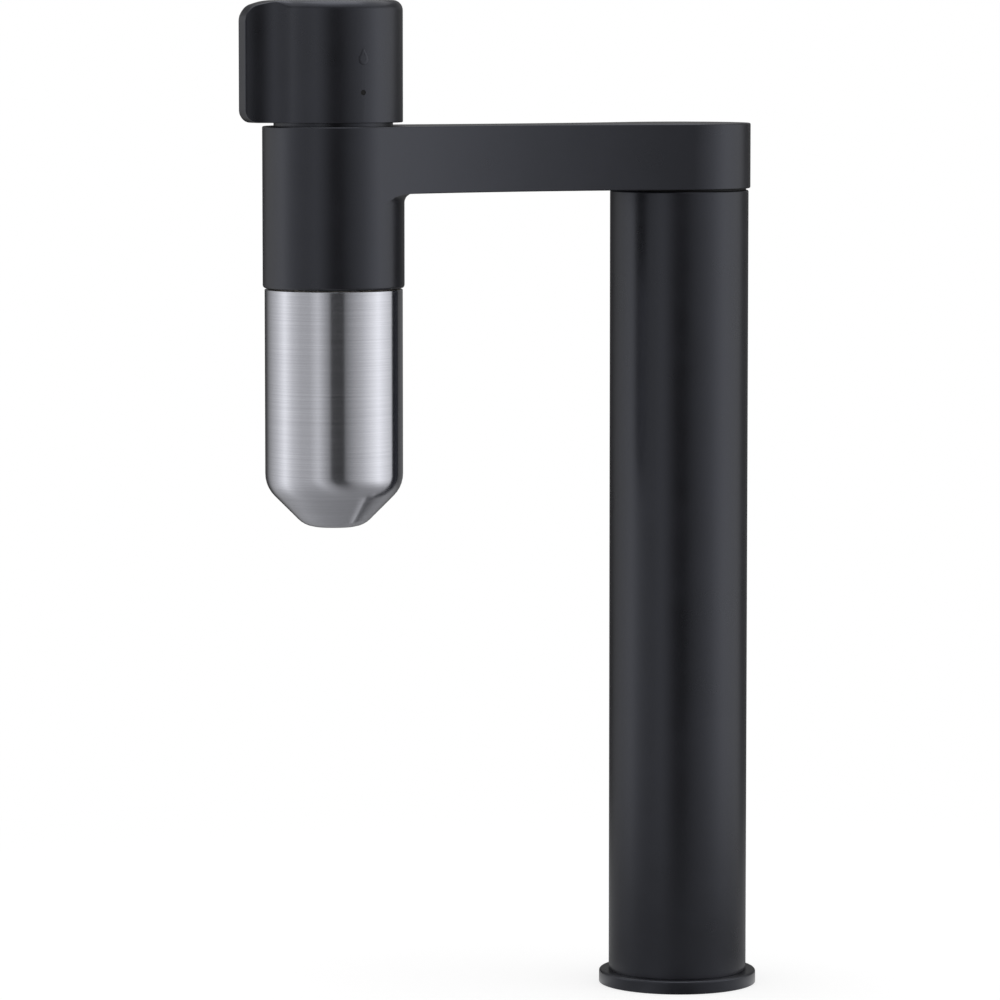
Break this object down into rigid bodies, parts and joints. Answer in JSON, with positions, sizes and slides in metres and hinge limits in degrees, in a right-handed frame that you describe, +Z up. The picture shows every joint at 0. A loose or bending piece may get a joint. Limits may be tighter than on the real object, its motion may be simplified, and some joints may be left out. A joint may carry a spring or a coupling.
{
  "type": "drinking water filter tap",
  "caption": "Deck-mounted filter tap: round column, flat swivelling arm, thumb-tab knob on a quarter-turn valve, screw-on steel filter capsule with the outlet below.",
  "frame": {"origin": "column axis at the worktop, on the foot flange's underside", "axes": "+Z up along the column; the arm points along -Y from the column to the capsule; +X is the side with the drop sign"},
  "size_m": [0.0524, 0.1854, 0.3283],
  "materials": {
    "satin_black_coat": "satin black coat on cast and drawn brass",
    "brushed_stainless": "brushed round its axis",
    "spring_steel": "plain stainless",
    "turned_brass": "turned, uncoated",
    "black_rubber": "moulded seal rubber",
    "white_acetal": "moulded, natural white",
    "alumina": "lapped ceramic; its weight is that of plastic here",
    "pressed_carbon": "pressed activated carbon",
    "filter_fleece": "spun fleece",
    "black_nozzle": "moulded black"
  },
  "bodies": {
    "column": {"base_flange": "satin_black_coat", "base_seal": "black_rubber", "inlet_block": "turned_brass", "riser_pipe": "spring_steel", "riser_seals": "black_rubber", "column_tube": "satin_black_coat", "column_head": "turned_brass", "riser_adaptor": "turned_brass", "thrust_washer": "white_acetal"},
    "arm": {"arm_body": "satin_black_coat", "swivel_spindle": "turned_brass", "upper_swivel_bush": "white_acetal", "lower_swivel_bush": "white_acetal", "spindle_seals": "black_rubber", "retaining_ring": "spring_steel", "valve_base_seal": "black_rubber", "fixed_ceramic_disc": "alumina", "valve_housing": "turned_brass", "cartridge_nut": "satin_black_coat", "filter_head": "white_acetal"},
    "handle": {"knob": "satin_black_coat", "valve_stem": "turned_brass", "moving_ceramic_disc": "alumina", "stem_seal": "black_rubber", "stem_clip": "spring_steel", "knob_grub_screw": "spring_steel", "index_pin": "black_nozzle"},
    "filter_cartridge": {"filter_top_cap": "white_acetal", "carbon_block": "pressed_carbon", "fleece_sleeve": "filter_fleece", "filter_bottom_cap": "white_acetal", "cartridge_seals": "black_rubber"},
    "housing_seal_ring": {"housing_seal": "black_rubber"},
    "capsule": {"capsule_shell": "brushed_stainless", "capsule_liner": "white_acetal", "outlet_nozzle": "black_nozzle", "nozzle_seal": "black_rubber", "flow_straightener": "white_acetal"}
  },
  "joints": [
    {"name": "arm_swivel", "type": "hinge", "parent": "column", "child": "arm", "pos_m": [0, 0, 0.2664], "axis": [0, 0, 1], "continuous": true},
    {"name": "knob_turn", "type": "hinge", "parent": "arm", "child": "handle", "pos_m": [0, -0.127, 0.288], "axis": [0, 0, 1], "range_deg": [0, 90]},
    {"name": "cartridge_withdraw", "type": "slide", "parent": "arm", "child": "filter_cartridge", "axis": [0, 0, -1], "range_m": [0, 0.095]},
    {"name": "thread_travel", "type": "slide", "parent": "filter_cartridge", "child": "housing_seal_ring", "axis": [0, 0, -1], "range_m": [0, 0.006]},
    {"name": "housing_unscrew", "type": "hinge", "parent": "housing_seal_ring", "child": "capsule", "pos_m": [0, -0.127, 0.236], "axis": [0, 0, -1], "range_deg": [0, 1080]}
  ],
  "couplings": [
    {"joint": "thread_travel", "follows": "housing_unscrew", "m_per_rad": 0.00031831}
  ]
}
